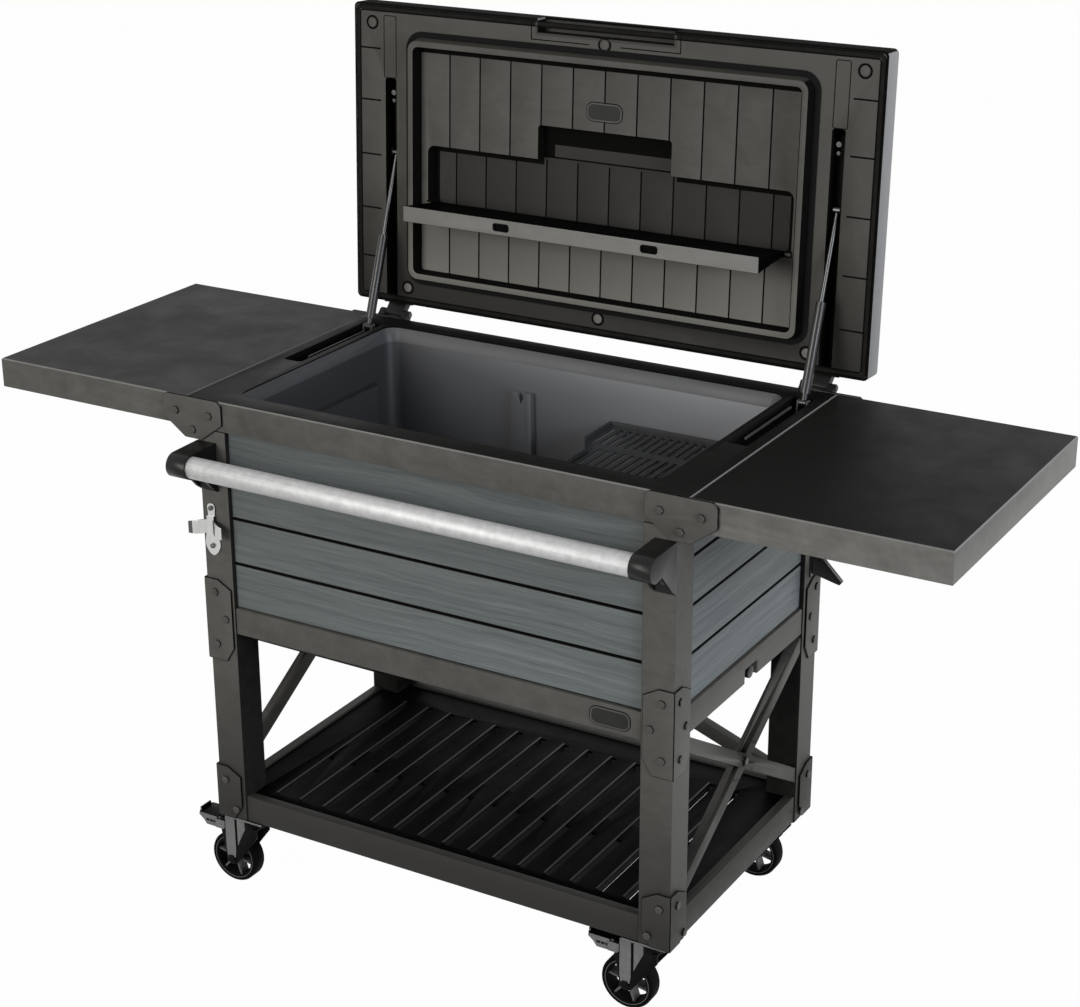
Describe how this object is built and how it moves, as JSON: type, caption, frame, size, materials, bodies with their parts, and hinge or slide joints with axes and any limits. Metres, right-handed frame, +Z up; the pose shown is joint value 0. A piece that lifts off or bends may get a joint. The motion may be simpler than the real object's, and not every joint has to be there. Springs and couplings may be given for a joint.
{
  "type": "cooler table with lid",
  "caption": "Wheeled patio cooler table: insulated tub under a gas-sprung lid, drop wings, lower shelf, push handle and bottle opener.",
  "frame": {"origin": "on the floor, under the middle of the table's bounding box", "axes": "+X to the right along the table's length, +Y to the back where the lid hinges, +Z up"},
  "size_m": [1.762, 0.7175, 1.495],
  "materials": {
    "frame_brown": "matt brown grey",
    "top_brown": "fine textured",
    "lid_outer": "fine textured",
    "lid_inner": "fine textured",
    "plank_grey": "wood grain relief",
    "tub_grey": "smooth",
    "tray_grey": "smooth",
    "black_plastic": "satin",
    "dark_metal": "powder coat",
    "dark_hardware": "satin black",
    "spring_black": "gloss",
    "spring_steel": "ground",
    "foam": "closed cell foam",
    "seal_rubber": "soft",
    "handle_aluminium": "brushed",
    "opener_steel": "stamped",
    "caster_steel": "plated black",
    "tyre_black": "solid tyre"
  },
  "bodies": {
    "frame": {"leg_front_left": "frame_brown", "leg_front_right": "frame_brown", "leg_back_left": "frame_brown", "leg_back_right": "frame_brown", "lower_rails": "frame_brown", "lower_shelf": "black_plastic", "apron_front": "frame_brown", "apron_back": "frame_brown", "aprons_end": "frame_brown", "planks_front": "plank_grey", "planks_back": "plank_grey", "planks_end": "plank_grey", "brace_left": "frame_brown", "brace_right": "frame_brown", "brace_back": "frame_brown", "corner_plates": "dark_metal", "frame_bolts": "dark_hardware", "small_screws": "dark_hardware", "body_base": "black_plastic", "insulation": "foam", "tub": "tub_grey", "top_frame": "top_brown", "drain_fitting": "black_plastic", "hinge_plates": "dark_metal", "wing_pivots": "dark_hardware", "handle_tube": "handle_aluminium", "handle_brackets": "black_plastic", "bottle_opener": "opener_steel", "wing_catches": "black_plastic", "spring_anchors": "dark_hardware", "lid_hinge_brackets": "dark_hardware", "lid_hinge_pins": "dark_hardware", "caster_plates": "caster_steel"},
    "lid": {"lid_shell": "lid_outer", "lid_liner": "lid_inner", "lid_seal": "seal_rubber", "lid_plugs": "lid_inner", "lid_hinge_arms": "dark_hardware", "lid_spring_brackets": "dark_hardware"},
    "lid_shelf": {"lid_shelf": "black_plastic"},
    "tub_tray": {"tub_tray": "tray_grey"},
    "drain_cap": {"drain_cap": "black_plastic"},
    "spring_cylinder_left": {"spring_cylinder_left": "spring_black"},
    "spring_rod_left": {"spring_rod_left": "spring_steel"},
    "wing_left": {"wing_left": "top_brown"},
    "wing_latch_left": {"wing_latch_left": "black_plastic"},
    "spring_cylinder_right": {"spring_cylinder_right": "spring_black"},
    "spring_rod_right": {"spring_rod_right": "spring_steel"},
    "wing_right": {"wing_right": "top_brown"},
    "wing_latch_right": {"wing_latch_right": "black_plastic"},
    "caster_fork_front_left": {"caster_fork_front_left": "caster_steel"},
    "wheel_front_left": {"wheel_front_left": "tyre_black"},
    "brake_pedal_front_left": {"brake_pedal_front_left": "caster_steel"},
    "caster_fork_front_right": {"caster_fork_front_right": "caster_steel"},
    "wheel_front_right": {"wheel_front_right": "tyre_black"},
    "brake_pedal_front_right": {"brake_pedal_front_right": "caster_steel"},
    "caster_fork_back_left": {"caster_fork_back_left": "caster_steel"},
    "wheel_back_left": {"wheel_back_left": "tyre_black"},
    "caster_fork_back_right": {"caster_fork_back_right": "caster_steel"},
    "wheel_back_right": {"wheel_back_right": "tyre_black"}
  },
  "joints": [
    {"name": "lid_hinge", "type": "hinge", "parent": "frame", "child": "lid", "pos_m": [0, 0.292, 0.932], "axis": [-1, 0, 0], "range_deg": [-92.3, 0]},
    {"name": "lid_shelf_fold", "type": "hinge", "parent": "lid", "child": "lid_shelf", "pos_m": [0, 0.30958, 1.14547], "axis": [1, 0, 0], "range_deg": [-90, 0]},
    {"name": "tray_lift", "type": "slide", "parent": "frame", "child": "tub_tray", "axis": [0, 0, 1], "range_m": [0, 0.2]},
    {"name": "drain_cap_turn", "type": "hinge", "parent": "frame", "child": "drain_cap", "pos_m": [0.44, 0.012, 0.5215], "axis": [1, 0, 0], "range_deg": [0, 90]},
    {"name": "wing_left_fold", "type": "hinge", "parent": "frame", "child": "wing_left", "pos_m": [-0.491, 0, 0.903], "axis": [0, -1, 0], "range_deg": [0, 90]},
    {"name": "wing_left_latch", "type": "hinge", "parent": "wing_left", "child": "wing_latch_left", "pos_m": [-0.847, -0.028, 0.892], "axis": [0, -1, 0], "range_deg": [0, 20], "stiffness_Nm_per_rad": 0.3, "springref_deg": -8.59},
    {"name": "spring_left_swing", "type": "hinge", "parent": "frame", "child": "spring_cylinder_left", "pos_m": [-0.434, 0.214, 0.926], "axis": [-1, 0, 0], "range_deg": [-104.4, 1]},
    {"name": "spring_left_stroke", "type": "slide", "parent": "spring_cylinder_left", "child": "spring_rod_left", "axis": [0, 0.3364, 0.9417], "range_m": [-0.1014, 0.001]},
    {"name": "wing_right_fold", "type": "hinge", "parent": "frame", "child": "wing_right", "pos_m": [0.491, 0, 0.903], "axis": [0, 1, 0], "range_deg": [0, 90]},
    {"name": "wing_right_latch", "type": "hinge", "parent": "wing_right", "child": "wing_latch_right", "pos_m": [0.847, -0.028, 0.892], "axis": [0, 1, 0], "range_deg": [0, 20], "stiffness_Nm_per_rad": 0.3, "springref_deg": -8.59},
    {"name": "spring_right_swing", "type": "hinge", "parent": "frame", "child": "spring_cylinder_right", "pos_m": [0.434, 0.214, 0.926], "axis": [-1, 0, 0], "range_deg": [-104.4, 1]},
    {"name": "spring_right_stroke", "type": "slide", "parent": "spring_cylinder_right", "child": "spring_rod_right", "axis": [0, 0.3364, 0.9417], "range_m": [-0.1014, 0.001]},
    {"name": "swivel_front_left", "type": "hinge", "parent": "frame", "child": "caster_fork_front_left", "pos_m": [-0.4035, -0.241, 0.125], "axis": [0, 0, 1], "continuous": true},
    {"name": "roll_front_left", "type": "hinge", "parent": "caster_fork_front_left", "child": "wheel_front_left", "pos_m": [-0.442, -0.241, 0.048], "axis": [0, 1, 0], "continuous": true},
    {"name": "brake_front_left", "type": "hinge", "parent": "caster_fork_front_left", "child": "brake_pedal_front_left", "pos_m": [-0.4595, -0.241, 0.119], "axis": [0, -1, 0], "range_deg": [0, 15]},
    {"name": "swivel_front_right", "type": "hinge", "parent": "frame", "child": "caster_fork_front_right", "pos_m": [0.4035, -0.241, 0.125], "axis": [0, 0, 1], "continuous": true},
    {"name": "roll_front_right", "type": "hinge", "parent": "caster_fork_front_right", "child": "wheel_front_right", "pos_m": [0.365, -0.241, 0.048], "axis": [0, 1, 0], "continuous": true},
    {"name": "brake_front_right", "type": "hinge", "parent": "caster_fork_front_right", "child": "brake_pedal_front_right", "pos_m": [0.3475, -0.241, 0.119], "axis": [0, -1, 0], "range_deg": [0, 15]},
    {"name": "swivel_back_left", "type": "hinge", "parent": "frame", "child": "caster_fork_back_left", "pos_m": [-0.4035, 0.241, 0.125], "axis": [0, 0, 1], "continuous": true},
    {"name": "roll_back_left", "type": "hinge", "parent": "caster_fork_back_left", "child": "wheel_back_left", "pos_m": [-0.442, 0.241, 0.048], "axis": [0, 1, 0], "continuous": true},
    {"name": "swivel_back_right", "type": "hinge", "parent": "frame", "child": "caster_fork_back_right", "pos_m": [0.4035, 0.241, 0.125], "axis": [0, 0, 1], "continuous": true},
    {"name": "roll_back_right", "type": "hinge", "parent": "caster_fork_back_right", "child": "wheel_back_right", "pos_m": [0.365, 0.241, 0.048], "axis": [0, 1, 0], "continuous": true}
  ],
  "couplings": [
    {"joint": "spring_left_swing", "follows": "lid_hinge", "ratio": 1.1203},
    {"joint": "spring_left_stroke", "follows": "lid_hinge", "m_per_rad": 0.062338},
    {"joint": "spring_right_swing", "follows": "lid_hinge", "ratio": 1.1203},
    {"joint": "spring_right_stroke", "follows": "lid_hinge", "m_per_rad": 0.062338}
  ]
}
